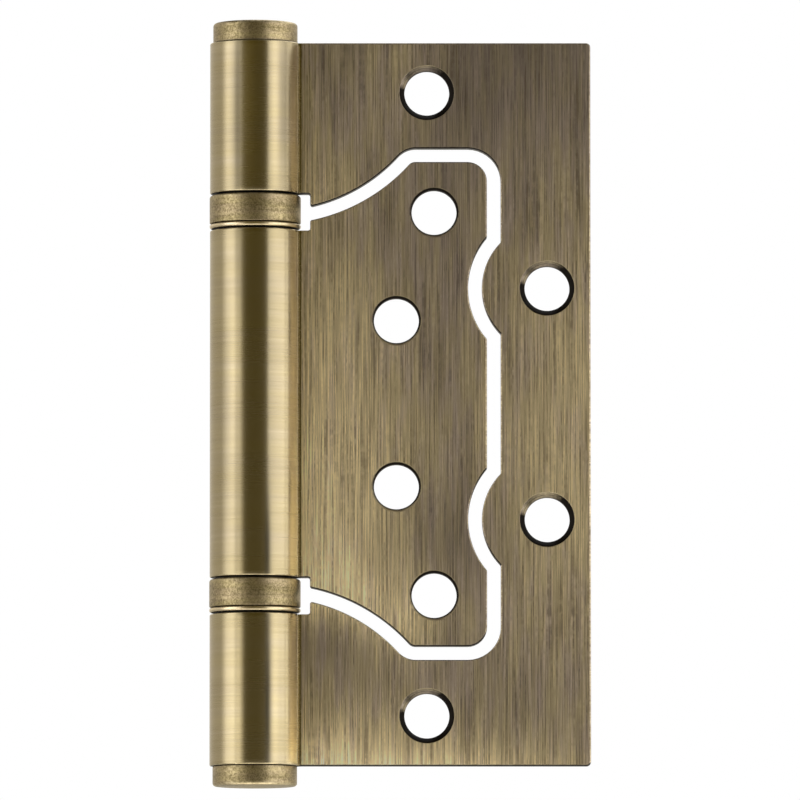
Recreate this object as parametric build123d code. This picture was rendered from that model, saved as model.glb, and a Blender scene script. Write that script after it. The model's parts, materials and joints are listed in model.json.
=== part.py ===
"""Non-mortise door hinge: two nested leaves, a pin with caps, and two ball bearings.

The pin stands along Z with the origin at its mid-height. With the hinge closed both
leaves lie in one plane, towards +X, and the seams of the knuckles face -Y.
"""
from build123d import *
import math
import os

# Leaves, all in millimetres
leaf_height = 100.0
leaf_reach = 46.3
sheet = 2.5
leaf_corner = 0.6
edge_break = 0.18

# Strips that the outer leaf keeps around its window, and the gap to the inner leaf
end_strip = 14.6
side_strip = 12.4
nest_gap = 1.9
inner_corner = 2.7
shoulder_round = 1.2
cusp_round = 0.4
slope_radius = 25.2
slope_centre_x = 2.6

# Neck beside each bearing, where the knuckles leave their leaves
neck_gap = 1.35
neck_tooth = 1.4
neck_round = 0.3

# Knuckles, rolled from the sheet around the pin
bore_diameter = 7.5
outer_knuckle = 20.9
root_bend = 0.35
seam_angle = 15.0
knuckle_chamfer = 0.2

# Screw holes
hole_diameter = 6.2
countersink_diameter = 7.6
countersink_angle = 90.0
punch_round = 0.25
end_hole_inset = 6.9
end_hole_to_edge = 22.6
side_hole_to_edge = 6.0
side_hole_z = 16.0
bulge_radius = 9.0
inner_end_inset = 7.0
inner_end_to_edge = 7.3
inner_mid_z = 11.5
inner_mid_to_edge = 12.5

# Pin and caps
running_fit = 0.05
press_gap = 0.02
pin_chamfer = 0.5
cap_inset = 0.425
cap_height = 2.8
cap_round = 0.45
cap_under = 0.2
stem_length = 4.0
stem_chamfer = 0.4

# Ball bearings
bearing_height = 5.1
seat_rise = 0.25
seat_inset = 0.7
shell_proud = 0.05
shell_sheet = 0.4
shell_round = 0.35
flange_width = 1.3
lip_height = 0.65
lip_round = 0.28
lip_gap = 0.1
hub_gap = 0.15
ball_diameter = 1.5
ball_count = 12
ball_play = 0.05
groove_depth = 0.15
cage_sheet = 0.5
cage_gap = 0.1
pocket_gap = 0.06

# Sizes that follow
half_sheet = sheet / 2
bore_r = bore_diameter / 2
knuckle_r = bore_r + sheet
roll_r = bore_r + half_sheet
bend_r = root_bend + half_sheet
root_x = math.sqrt((roll_r + bend_r) ** 2 - bend_r ** 2)
root_angle = math.degrees(math.atan2(bend_r, root_x))
leaf_half = leaf_height / 2
inner_half = leaf_half - end_strip - nest_gap
inner_reach = leaf_reach - side_strip - nest_gap
outer_start = leaf_half - outer_knuckle
middle_half = outer_start - bearing_height
neck_x = knuckle_r + neck_gap
slope_centre_z = (middle_half + neck_tooth
                  + math.sqrt(slope_radius ** 2 - (neck_x - slope_centre_x) ** 2))
side_hole_x = leaf_reach - side_hole_to_edge
end_hole = (leaf_reach - end_hole_to_edge, leaf_half - end_hole_inset)
outer_holes = [end_hole, (side_hole_x, side_hole_z)]
inner_end = (inner_reach - inner_end_to_edge, inner_half - inner_end_inset)
inner_mid = (inner_reach - inner_mid_to_edge, inner_mid_z)
inner_holes = [inner_end, inner_mid]

pin_r = bore_r - running_fit
cap_r = knuckle_r - cap_inset
stem_r = bore_r - press_gap
pin_half = leaf_half - stem_length - running_fit

shell_r = knuckle_r + shell_proud
shell_in = shell_r - shell_sheet
flange_r = shell_r - flange_width
flange_under = bearing_height - seat_rise - shell_sheet
ball_z = flange_under / 2
ball_r = ball_diameter / 2
groove_r = ball_r + ball_play
track = groove_r - groove_depth
lip_top = seat_rise + lip_height
cage_in = bore_r + running_fit
cage_out = shell_in - cage_gap
pitch_r = (cage_in + cage_out) / 2


def arc_point(centre, radius, degrees):
    """Return the point on a circle at an angle from the first axis."""
    turn = math.radians(degrees)
    return (centre[0] + radius * math.cos(turn), centre[1] + radius * math.sin(turn))


def corners_at(face, places):
    """Return the corners of a flat face that lie at the given places."""
    return [v for v in face.vertices()
            if any(math.hypot(v.X - x, v.Y - z) < 1e-4 for x, z in places)]


def nest_face(grow, left, neck_half):
    """Return the inner leaf's outline, grown evenly; grown by the gap it is the window."""
    right = inner_reach + grow
    top = inner_half + grow
    slope_r = slope_radius - grow
    notch_r = bulge_radius + nest_gap - grow
    dip = math.sqrt(slope_r ** 2 - (neck_x - slope_centre_x) ** 2)
    tooth_z = slope_centre_z - dip
    shoulder_x = slope_centre_x + math.sqrt(slope_r ** 2 - (slope_centre_z - top) ** 2)
    start = math.degrees(math.atan2(-dip, neck_x - slope_centre_x))
    end = math.degrees(math.atan2(top - slope_centre_z, shoulder_x - slope_centre_x))
    slope_mid = arc_point((slope_centre_x, slope_centre_z), slope_r, (start + end) / 2)
    rise = math.sqrt(notch_r ** 2 - (side_hole_x - right) ** 2)
    cusp_top = side_hole_z + rise
    cusp_low = side_hole_z - rise
    edges = []
    for side in (1, -1):
        def at(x, z, side=side):
            return (x, side * z)
        edges.append(Polyline(at(left, 0), at(left, neck_half), at(neck_x, neck_half),
                              at(neck_x, tooth_z)))
        edges.append(ThreePointArc(at(neck_x, tooth_z), at(*slope_mid), at(shoulder_x, top)))
        edges.append(Polyline(at(shoulder_x, top), at(right, top), at(right, cusp_top)))
        edges.append(ThreePointArc(at(right, cusp_top), at(side_hole_x - notch_r, side_hole_z),
                                   at(right, cusp_low)))
        edges.append(Line(at(right, cusp_low), at(right, 0)))
    face = make_face(Curve() + edges)
    rounds = [
        ([(shoulder_x, top)], shoulder_round + grow),
        ([(right, top)], inner_corner + grow),
        ([(right, cusp_top), (right, cusp_low)], cusp_round),
        ([(neck_x, neck_half), (neck_x, tooth_z)], neck_round),
    ]
    for places, radius in rounds:
        both = places + [(x, -z) for x, z in places]
        face = fillet(corners_at(face, both), radius)
    return face


def stamped(face, front):
    """Return a leaf's plate with the punched edge of one face slightly broken."""
    plate = extrude(Plane.XZ * face, half_sheet, both=True)
    rim = plate.faces().sort_by(Axis.Y)[0 if front < 0 else -1].edges()
    free = [edge for edge in rim if edge.center().X > root_x + 1e-3]
    return chamfer(free, edge_break)


def screw_hole(x, z, front):
    """Return the cutter of one screw hole, countersunk from the face on side front."""
    hole_r = hole_diameter / 2
    sink_r = countersink_diameter / 2
    sink = (sink_r - hole_r) / math.tan(math.radians(countersink_angle / 2))
    over = sheet
    slope = (sink_r - hole_r) / sink
    outline = [
        (0, half_sheet + over),
        (sink_r + slope * over, half_sheet + over),
        (hole_r, half_sheet - sink),
        (hole_r, punch_round - half_sheet),
        (hole_r + punch_round + over, -half_sheet - over),
        (0, -half_sheet - over),
    ]
    cutter = turned(outline)
    return Pos(x, 0, z) * Rot(X=90 if front < 0 else -90) * cutter


def turned(outline, rounded=(), radius=0.0):
    """Return the solid turned about Z from its half section, with some corners rounded."""
    face = make_face(Polyline(*outline, close=True))
    if rounded:
        face = fillet(corners_at(face, rounded), radius)
    return revolve(Plane.XZ * face, Axis.Z)


def knuckle(low, high):
    """Return one rolled knuckle from height low to high, with its reverse bend."""
    middle = (root_x, bend_r)
    bend_in = bend_r - half_sheet
    bend_out = bend_r + half_sheet
    turn = -90 - (90 - root_angle) / 2
    bore_start = arc_point((0, 0), bore_r, root_angle)
    skin_start = arc_point((0, 0), knuckle_r, root_angle)
    bore_end = arc_point((0, 0), bore_r, -seam_angle)
    skin_end = arc_point((0, 0), knuckle_r, -seam_angle)
    half_way = 180 + (root_angle - seam_angle) / 2
    roll = make_face(Curve() + [
        ThreePointArc(bore_start, arc_point((0, 0), bore_r, half_way), bore_end),
        Line(bore_end, skin_end),
        ThreePointArc(skin_end, arc_point((0, 0), knuckle_r, half_way), skin_start),
        Line(skin_start, bore_start),
    ])
    bend = make_face(Curve() + [
        ThreePointArc((root_x, -half_sheet), arc_point(middle, bend_out, turn), bore_start),
        Line(bore_start, skin_start),
        ThreePointArc(skin_start, arc_point(middle, bend_in, turn), (root_x, half_sheet)),
        Line((root_x, half_sheet), (root_x, -half_sheet)),
    ])
    length = high - low
    inside = knuckle_r - knuckle_chamfer
    barrel = turned([
        (0, 0),
        (inside, 0),
        (knuckle_r, knuckle_chamfer),
        (knuckle_r, length - knuckle_chamfer),
        (inside, length),
        (0, length),
    ])
    rolled = extrude(roll, length) & barrel
    return Pos(0, 0, low) * (rolled + extrude(bend, length))


def outer_leaf():
    """Return the outer leaf: a plate with a window, and a knuckle at each end."""
    width = leaf_reach - root_x
    blank = Pos(root_x + width / 2, 0) * Rectangle(width, leaf_height)
    free = [(leaf_reach, leaf_half), (leaf_reach, -leaf_half)]
    blank = fillet(corners_at(blank, free), leaf_corner)
    window = nest_face(nest_gap, root_x - 1, outer_start)
    leaf = stamped(blank - window, -1)
    for x, z in outer_holes:
        leaf -= screw_hole(x, z, -1) + screw_hole(x, -z, -1)
    return leaf + knuckle(outer_start, leaf_half) + knuckle(-leaf_half, -outer_start)


def inner_leaf():
    """Return the inner leaf, which fills the window, with the middle knuckle."""
    leaf = stamped(nest_face(0, root_x, middle_half), -1)
    for x, z in inner_holes:
        leaf -= screw_hole(x, z, 1) + screw_hole(x, -z, 1)
    return leaf + knuckle(-middle_half, middle_half)


def hinge_pin():
    """Return the pin, with chamfered ends."""
    inside = pin_r - pin_chamfer
    return turned([
        (0, -pin_half),
        (inside, -pin_half),
        (pin_r, -pin_half + pin_chamfer),
        (pin_r, pin_half - pin_chamfer),
        (inside, pin_half),
        (0, pin_half),
    ])


def cap():
    """Return one cap at the origin: a flat button with its stem below."""
    body = turned([
        (0, -stem_length),
        (stem_r - stem_chamfer, -stem_length),
        (stem_r, stem_chamfer - stem_length),
        (stem_r, 0),
        (cap_r - cap_under, 0),
        (cap_r, cap_under),
        (cap_r, cap_height),
        (0, cap_height),
    ], [(cap_r, cap_height)], cap_round)
    return body


def raceway():
    """Return the ring that cuts both races' grooves."""
    return Pos(0, 0, ball_z) * Torus(pitch_r, groove_r)


def bottom_race():
    """Return the lower race: a seat, the lip that shows, and a hub inside the shell."""
    hub_r = shell_in - hub_gap
    seat_r = shell_r - seat_inset
    body = turned([
        (bore_r, 0),
        (seat_r, 0),
        (seat_r, seat_rise),
        (shell_r, seat_rise),
        (shell_r, lip_top),
        (hub_r, lip_top),
        (hub_r, ball_z - track),
        (bore_r, ball_z - track),
    ], [(shell_r, seat_rise), (shell_r, lip_top)], lip_round)
    return body - raceway()


def top_race():
    """Return the upper race, whose boss passes up through the shell's flange."""
    body_r = shell_in - press_gap
    boss_r = flange_r - press_gap
    body = turned([
        (bore_r, ball_z + track),
        (body_r, ball_z + track),
        (body_r, flange_under - shell_round),
        (body_r - shell_round, flange_under),
        (boss_r, flange_under),
        (boss_r, bearing_height),
        (bore_r, bearing_height),
    ])
    return body - raceway()


def bearing_shell():
    """Return the drawn shell: a flange on the upper race and a skirt down to the lip."""
    flange_top = flange_under + shell_sheet
    skirt_low = lip_top + lip_gap
    body = turned([
        (flange_r, flange_under),
        (shell_in, flange_under),
        (shell_in, skirt_low),
        (shell_r, skirt_low),
        (shell_r, flange_top),
        (flange_r, flange_top),
    ], [(shell_r, flange_top)], shell_round)
    return body


def bearing_cage():
    """Return the flat cage ring with one pocket for each ball."""
    ring = Cylinder(cage_out, cage_sheet) - Cylinder(cage_in, cage_sheet)
    pocket = Cylinder(ball_r + pocket_gap, cage_sheet)
    for spot in PolarLocations(pitch_r, ball_count):
        ring -= spot * pocket
    return Pos(0, 0, ball_z) * ring


def bearing_parts(side):
    """Return one bearing's parts by name, standing at the origin."""
    parts = {
        f"{side}_bearing_shell": bearing_shell(),
        f"{side}_bearing_top_race": top_race(),
        f"{side}_bearing_bottom_race": bottom_race(),
        f"{side}_bearing_cage": bearing_cage(),
    }
    for number, spot in enumerate(PolarLocations(pitch_r, ball_count), start=1):
        parts[f"{side}_bearing_ball_{number:02d}"] = Pos(0, 0, ball_z) * spot * Sphere(ball_r)
    return parts


def hinge():
    """Return every part of the closed hinge by name."""
    parts = {
        "outer_leaf": outer_leaf(),
        "inner_leaf": inner_leaf(),
        "hinge_pin": hinge_pin(),
        "top_cap": Pos(0, 0, leaf_half) * cap(),
        "bottom_cap": Pos(0, 0, -leaf_half) * Rot(X=180) * cap(),
    }
    for side, low in (("upper", middle_half), ("lower", -outer_start)):
        for name, solid in bearing_parts(side).items():
            parts[name] = Pos(0, 0, low) * solid
    return parts


os.makedirs("parts", exist_ok=True)
for name, solid in hinge().items():
    export_step(solid, f"parts/{name}.step")
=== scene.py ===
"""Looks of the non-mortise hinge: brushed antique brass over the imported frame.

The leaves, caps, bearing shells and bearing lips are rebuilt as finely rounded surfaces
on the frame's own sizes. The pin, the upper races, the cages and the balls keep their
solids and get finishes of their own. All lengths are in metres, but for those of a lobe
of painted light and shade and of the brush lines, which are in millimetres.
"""

import json
import logging
import math
from dataclasses import dataclass
from enum import Enum
from typing import Callable

import bmesh
import bpy
import numpy as np
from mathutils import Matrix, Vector
from mathutils.geometry import delaunay_2d_cdt


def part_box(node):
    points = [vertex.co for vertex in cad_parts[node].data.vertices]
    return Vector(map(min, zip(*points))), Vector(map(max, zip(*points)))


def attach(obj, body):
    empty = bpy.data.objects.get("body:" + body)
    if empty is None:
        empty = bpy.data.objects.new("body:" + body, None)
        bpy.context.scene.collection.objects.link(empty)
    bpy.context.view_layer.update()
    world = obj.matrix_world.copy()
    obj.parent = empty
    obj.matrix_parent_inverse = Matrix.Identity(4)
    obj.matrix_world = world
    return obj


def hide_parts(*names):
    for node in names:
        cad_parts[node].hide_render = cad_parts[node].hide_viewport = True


MM = 0.001
PER_MM = 1000.0
WELD = 0.0001 * MM
PATH_STEP = 0.4 * MM
SHARP_TURN = math.radians(35)
LOG = logging.getLogger("hinge")

Array = np.ndarray
Piece = bpy.types.Object
Material = bpy.types.Material
Tree = bpy.types.NodeTree
Outputs = bpy.types.NodeOutputs
Socket = bpy.types.NodeSocket
Colour = tuple[float, float, float, float]
Feed = Socket | float | Colour

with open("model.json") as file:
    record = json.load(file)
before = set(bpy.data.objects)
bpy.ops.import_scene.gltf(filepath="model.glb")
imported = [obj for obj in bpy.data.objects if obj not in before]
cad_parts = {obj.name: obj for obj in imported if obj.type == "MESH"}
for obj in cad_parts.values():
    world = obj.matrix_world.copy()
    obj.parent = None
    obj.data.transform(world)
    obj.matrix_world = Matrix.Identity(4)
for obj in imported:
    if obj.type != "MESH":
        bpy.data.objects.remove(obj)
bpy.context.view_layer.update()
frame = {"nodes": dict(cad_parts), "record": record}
mounts = {mount["name"]: mount for mount in frame["record"]["mounts"]}


class Side(Enum):
    """The face of a leaf that its screw heads sit in."""

    FRONT = -1
    BACK = 1


class Skin(Enum):
    """The finish slots of a leaf's mesh."""

    PLATE = 0
    BARREL = 1


# Meshes


@dataclass
class Patch:
    """A piece of surface: points, faces by point, brush coordinates and edge values.

    The brush coordinates run across the brush lines in the first column and along them
    in the second. The edge value is 1 where an edge is bright from rubbing or from a painted
    highlight, 0 on the open faces, and -1 in the recesses, where the blackening was never
    brushed off, and where painted shade stands in the gaps between parts and on edges that
    face down.
    """

    points: Array
    faces: Array
    brush: Array
    wear_and_painted_light: Array
    skin: Skin = Skin.PLATE
    smooth: bool = True

    @classmethod
    def grid(cls, *layers: Array | float, skin: Skin = Skin.PLATE,
             smooth: bool = True) -> "Patch":
        """Return the patch of a grid of points.

        Each face joins the points (i, j), (i + 1, j), (i + 1, j + 1) and (i, j + 1).

        Args:
            *layers: The points' x, y and z, the brush coordinates across and along the
            lines, and the edge value; each is spread over the whole grid.
            skin: The finish slot.
            smooth: Whether the faces are shaded as one round surface.

        Returns:
            The patch.
        """
        table = np.stack(np.broadcast_arrays(*layers), -1)
        rows, columns = table.shape[:2]
        index = np.arange(rows * columns).reshape(rows, columns)
        quads = np.stack([index[:-1, :-1], index[1:, :-1], index[1:, 1:],
                          index[:-1, 1:]], -1)
        table = table.reshape(-1, 6)
        return cls(table[:, :3], quads.reshape(-1, 4), table[:, 3:5], table[:, 5],
                   skin, smooth)


def build_mesh(name: str, patches: list[Patch]) -> Piece:
    """Join patches into one closed mesh object at the origin.

    Points nearer than a tenth of a micrometre are one point, and a face that loses a
    corner by this stays with the corners that are left.

    Args:
        name: The object's name.
        patches: The pieces of surface.

    Returns:
        The object, linked to the scene.
    """
    points = np.concatenate([patch.points for patch in patches])
    brush = np.concatenate([patch.brush for patch in patches])
    wear_and_painted_light = np.concatenate([patch.wear_and_painted_light for patch in patches])
    _, first, welded = np.unique(np.round(points / WELD), axis=0, return_index=True,
                                 return_inverse=True)
    welded = welded.ravel()
    starts = np.cumsum([0] + [len(patch.points) for patch in patches])
    quads = np.concatenate([
        np.pad(patch.faces, ((0, 0), (0, 4 - patch.faces.shape[1])), "edge") + start
        for patch, start in zip(patches, starts)])
    apart = welded[quads] != welded[np.roll(quads, 1, 1)]
    whole = apart.sum(1) > 2
    corners = quads[whole][apart[whole]]
    sizes = apart[whole].sum(1)
    mesh = bpy.data.meshes.new(name)
    mesh.vertices.add(len(first))
    mesh.vertices.foreach_set("co", points[first].astype(np.float32).ravel())
    mesh.loops.add(len(corners))
    mesh.loops.foreach_set("vertex_index", welded[corners].astype(np.int32))
    mesh.polygons.add(len(sizes))
    mesh.polygons.foreach_set("loop_start", (np.cumsum(sizes) - sizes).astype(np.int32))
    mesh.update(calc_edges=True)
    layer = mesh.uv_layers.new(name="brush")
    layer.uv.foreach_set("vector", brush[corners].astype(np.float32).ravel())
    # The edge values carry rubbing, blackening, painted highlights and painted shade.
    edge = mesh.attributes.new("edge_wear", "FLOAT", "POINT")
    edge.data.foreach_set("value", wear_and_painted_light[first].astype(np.float32))
    counts = [len(patch.faces) for patch in patches]
    skins = np.repeat([patch.skin.value for patch in patches], counts)[whole]
    smooth = np.repeat([patch.smooth for patch in patches], counts)[whole]
    mesh.polygons.foreach_set("material_index", skins.astype(np.int32))
    mesh.polygons.foreach_set("use_smooth", smooth)
    work = bmesh.new()
    work.from_mesh(mesh)
    bmesh.ops.recalc_face_normals(work, faces=work.faces)
    work.to_mesh(mesh)
    work.free()
    mesh.update()
    piece = bpy.data.objects.new(name, mesh)
    bpy.context.scene.collection.objects.link(piece)
    return piece


def quarter(count: int) -> Array:
    """Return angles that turn evenly through a right angle, both ends included."""
    return np.linspace(0, math.pi / 2, count)


def rounding(radius: float, turn: Array) -> tuple[Array, Array]:
    """Return how far in and how far down a rounded edge of a radius is at each angle."""
    return radius * (1 - np.sin(turn)), radius * (1 - np.cos(turn))


def circle(angle: Array) -> Array:
    """Return the points (cos a, sin a) of the round of radius 1."""
    return np.stack([np.cos(angle), np.sin(angle)], -1)


def lengths_of(points: Array) -> Array:
    """Return the length along a line of points, up to each point."""
    steps = np.linalg.norm(np.diff(points, axis=-2), axis=-1)
    return np.concatenate([np.zeros((*steps.shape[:-1], 1)), np.cumsum(steps, -1)], -1)


# Outlines of the leaves


@dataclass
class Corner:
    """A corner of an outline in the leaf's plane, with its rounding.

    A side that leaves the corner is straight, or an arc about a centre where one is
    given.
    """

    x: float
    z: float
    radius: float = 0.0
    centre: tuple[float, float] | None = None


def side_of(start: Corner, end: Corner) -> tuple[Callable, float]:
    """Return a side as a function of its length, and its length.

    Args:
        start: The corner that the side leaves; its centre makes the side an arc.
        end: The corner that the side comes to.

    Returns:
        A function from an array of lengths to places and headings, and the length.
    """
    a, b = np.array([[start.x, start.z], [end.x, end.z]])
    if start.centre is None:
        length = float(np.hypot(*(b - a)))
        heading = (b - a) / length
        return lambda s: (a + np.outer(s, heading), np.tile(heading, (len(s), 1))), length
    c = np.array(start.centre)
    radius = float(np.hypot(*(a - c)))
    first, last = (math.atan2(*(end - c)[::-1]) for end in (a, b))
    sweep = (last - first + math.pi) % (2 * math.pi) - math.pi
    turn = math.copysign(1, sweep)

    def arc(s: Array) -> tuple[Array, Array]:
        """Return the places and the headings on the arc at the lengths s."""
        angle = first + turn * s / radius
        ring = circle(angle)
        return c + radius * ring, turn * ring[:, ::-1] * [-1, 1]

    return arc, radius * abs(sweep)


def rounded_path(corners: list[Corner]) -> tuple[Array, Array]:
    """Return the points and outward normals of an open path with rounded corners.

    Each side is cut short by radius x tan(turn / 2) at a rounded corner, and a cubic
    with handles of 4/3 x radius x tan(turn / 4) joins the two sides. The material lies
    on the right of the path, so its normals point to the left.

    Args:
        corners: The corners in order; the first and the last aren't rounded.

    Returns:
        The points and the normals, each shaped (count, 2).
    """
    sides = [side_of(a, b) for a, b in zip(corners, corners[1:])]
    cuts, handles = [0.0], []
    for corner, (before, length), (after, _) in zip(corners[1:], sides, sides[1:]):
        into, away = before(np.array([length]))[1][0], after(np.zeros(1))[1][0]
        turn = math.acos(float(np.clip(into @ away, -1, 1)))
        cuts.append(corner.radius * math.tan(turn / 2))
        handles.append(4 / 3 * corner.radius * math.tan(turn / 4))
    runs = []
    for corner, (side, length), cut, stop in zip(corners, sides, cuts, [*cuts[1:], 0.0]):
        count = 2 if corner.centre is None else max(3, int(length / PATH_STEP))
        runs.append(side(np.linspace(cut, length - stop, count)))
    t = np.linspace(0, 1, 11)[1:-1, None]
    weights = np.hstack([(1 - t) ** 3, 3 * t * (1 - t) ** 2, 3 * t ** 2 * (1 - t), t ** 3])
    slopes = np.hstack([-(1 - t) ** 2, (1 - t) * (1 - 3 * t), t * (2 - 3 * t), t ** 2])
    parts = [runs[0]]
    for before, after, handle in zip(runs, runs[1:], handles):
        start, end = before[0][-1], after[0][0]
        poles = np.array([start, start + handle * before[1][-1],
                          end - handle * after[1][0], end])
        bend = slopes @ poles
        bend /= np.linalg.norm(bend, axis=1, keepdims=True)
        parts += [(weights @ poles, bend), after]
    path, heading = map(np.concatenate, zip(*parts))
    return path, heading[:, ::-1] * [-1, 1]


# Leaves


@dataclass
class NestOutline:
    """The outline that the inner leaf and the outer leaf's window share.

    Grown by nothing it is the inner leaf's edge, and grown by the gap it is the
    window's.
    """

    root_x: float
    reach: float
    half: float
    neck_x: float
    tooth_z: float
    lobe: tuple[float, float]
    gap: float = 1.9 * MM
    slope_radius: float = 25.2 * MM
    slope_x: float = 2.6 * MM
    lobe_radius: float = 9.0 * MM
    corner: float = 2.7 * MM
    shoulder: float = 1.2 * MM
    cusp: float = 0.4 * MM
    neck: float = 0.3 * MM

    def path(self, grow: float, neck_half: float) -> tuple[Array, Array]:
        """Return the edge from the upper root to the lower one, with its normals.

        Args:
            grow: How far the outline is moved outwards.
            neck_half: Half the height of the neck beside the knuckle.

        Returns:
            The points and the normals, each shaped (count, 2).
        """
        right = self.reach + grow
        top = self.half + grow
        dip = math.sqrt(self.slope_radius ** 2 - (self.neck_x - self.slope_x) ** 2)
        middle = self.tooth_z + dip
        radius = self.slope_radius - grow
        tooth = middle - math.sqrt(radius ** 2 - (self.neck_x - self.slope_x) ** 2)
        shoulder_x = self.slope_x + math.sqrt(radius ** 2 - (middle - top) ** 2)
        notch = self.lobe_radius + self.gap - grow
        rise = math.sqrt(notch ** 2 - (self.lobe[0] - right) ** 2)
        upper = [
            Corner(self.root_x, neck_half),
            Corner(self.neck_x, neck_half, self.neck),
            Corner(self.neck_x, tooth, self.neck, (self.slope_x, middle)),
            Corner(shoulder_x, top, self.shoulder + grow),
            Corner(right, top, self.corner + grow),
            Corner(right, self.lobe[1] + rise, self.cusp, self.lobe),
            Corner(right, self.lobe[1] - rise, self.cusp),
        ]
        points, normals = rounded_path(upper + [Corner(right, 0)])
        flip = np.array([1, -1])
        return (np.concatenate([points, points[-2::-1] * flip]),
                np.concatenate([normals, normals[-2::-1] * flip]))


@dataclass
class ScrewHole:
    """A screw hole through a leaf, countersunk from one face."""

    x: float
    z: float
    heads: Side
    radius: float
    half_sheet: float
    sink_radius: float = 3.8 * MM
    punch_round: float = 0.25 * MM
    lip: float = 0.08 * MM
    land: float = 0.16 * MM
    throat: float = 0.12 * MM
    steps: int = 96
    brush_pitch: float = 1.7

    def profile(self) -> Array:
        """Return radius, height from the head side and edge value down the hole's wall.

        The wall goes round the lip, down the cone at 45 degrees, down the bore, out
        over the punched edge and onto a narrow land of the other face.

        Returns:
            Rows of radius, height above the leaf's middle and edge value.
        """
        h = self.half_sheet
        turn = quarter(4)
        cone = self.lip * math.tan(math.pi / 8)
        # The lip's rounding is bright from rubbing with a painted highlight; the cone and
        # the bore are blackened.
        over = np.stack([self.sink_radius + cone - self.lip * np.sin(turn / 2),
                         h - self.lip * (1 - np.cos(turn / 2)),
                         np.array([0.0, 0.9, -0.3, -1.0])], -1)
        end, top = over[-1, :2]
        wall = np.array([[end - self.throat, top - self.throat, -1.0],
                         [self.radius, top - (end - self.radius), -1.0],
                         [self.radius, self.punch_round - h, -1.0]])
        down, wide = rounding(self.punch_round, turn[1:])
        out = np.stack([self.radius + wide, down - h, np.full(3, -1.0)], -1)
        land = np.array([[self.radius + self.punch_round + self.land, -h, 0.0]])
        return np.concatenate([over, wall, out, land])

    def wall_wear_and_painted_light(self, down: Array, angle: Array) -> Array:
        """Return the edge values over the whole wall, with painted light.

        Where it is black, the cone gains 0.6 exp(-((a - 98) / 48)^2) at the top, painted
        light, and 0.7 exp(-((a - 157) / 13)^2) at the upper left, a painted glint, with a
        the angle in degrees. The punched round gains shares of 0.5 - 0.5 sin(a + 20), more
        towards the face, so that it has painted shade at the top and a painted highlight at
        the bottom.

        Args:
            down: The edge values down the profile.
            angle: The angles round the hole.

        Returns:
            The edge values, shaped (rows, columns).
        """
        a = np.degrees(angle)
        # Painted light on the black cone: a lighter arc at the top and a glint at the upper
        # left.
        painted_light_lift = 0.6 * np.exp(-((a - 98) / 48) ** 2) + 0.7 * np.exp(-((a - 157) / 13) ** 2)
        wear_and_painted_light = np.repeat(down[:, None], len(angle), 1)
        wear_and_painted_light[:6] += np.where(wear_and_painted_light[:6] < 0, painted_light_lift, 0)
        # Painted shade at the top of the punched round and a painted highlight at its
        # bottom.
        lean = 0.5 - 0.5 * np.sin(angle + math.radians(20))
        wear_and_painted_light[-4:-1] += np.outer([0.1, 0.35, 0.8], lean)
        return wear_and_painted_light

    def patches(self) -> tuple[list[Patch], dict[Side, Array]]:
        """Return the hole's wall and its rim on each face of the leaf.

        A wall point is the hole's centre plus radius x (cos a, sin a), at its height.

        Returns:
            The patches, and the rims' points in the leaf's plane by face.
        """
        rows = self.profile()
        angle = np.linspace(0, 2 * math.pi, self.steps + 1)
        x = self.x + rows[:, :1] * np.cos(angle)
        y = rows[:, 1:2] * self.heads.value
        z = self.z + rows[:, :1] * np.sin(angle)
        wear_and_painted_light = self.wall_wear_and_painted_light(rows[:, 2], angle)
        bands = [Patch.grid(x[low:high], y[low:high], z[low:high],
                            y[low:high] * self.brush_pitch, angle * self.radius,
                            wear_and_painted_light[low:high])
                 for low, high in ((0, 4), (3, 6), (5, 7), (6, 10), (9, 11))]
        rims = np.stack([x, z], -1)[:, :-1]
        other = Side.BACK if self.heads is Side.FRONT else Side.FRONT
        return bands, {self.heads: rims[0], other: rims[-1]}


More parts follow.
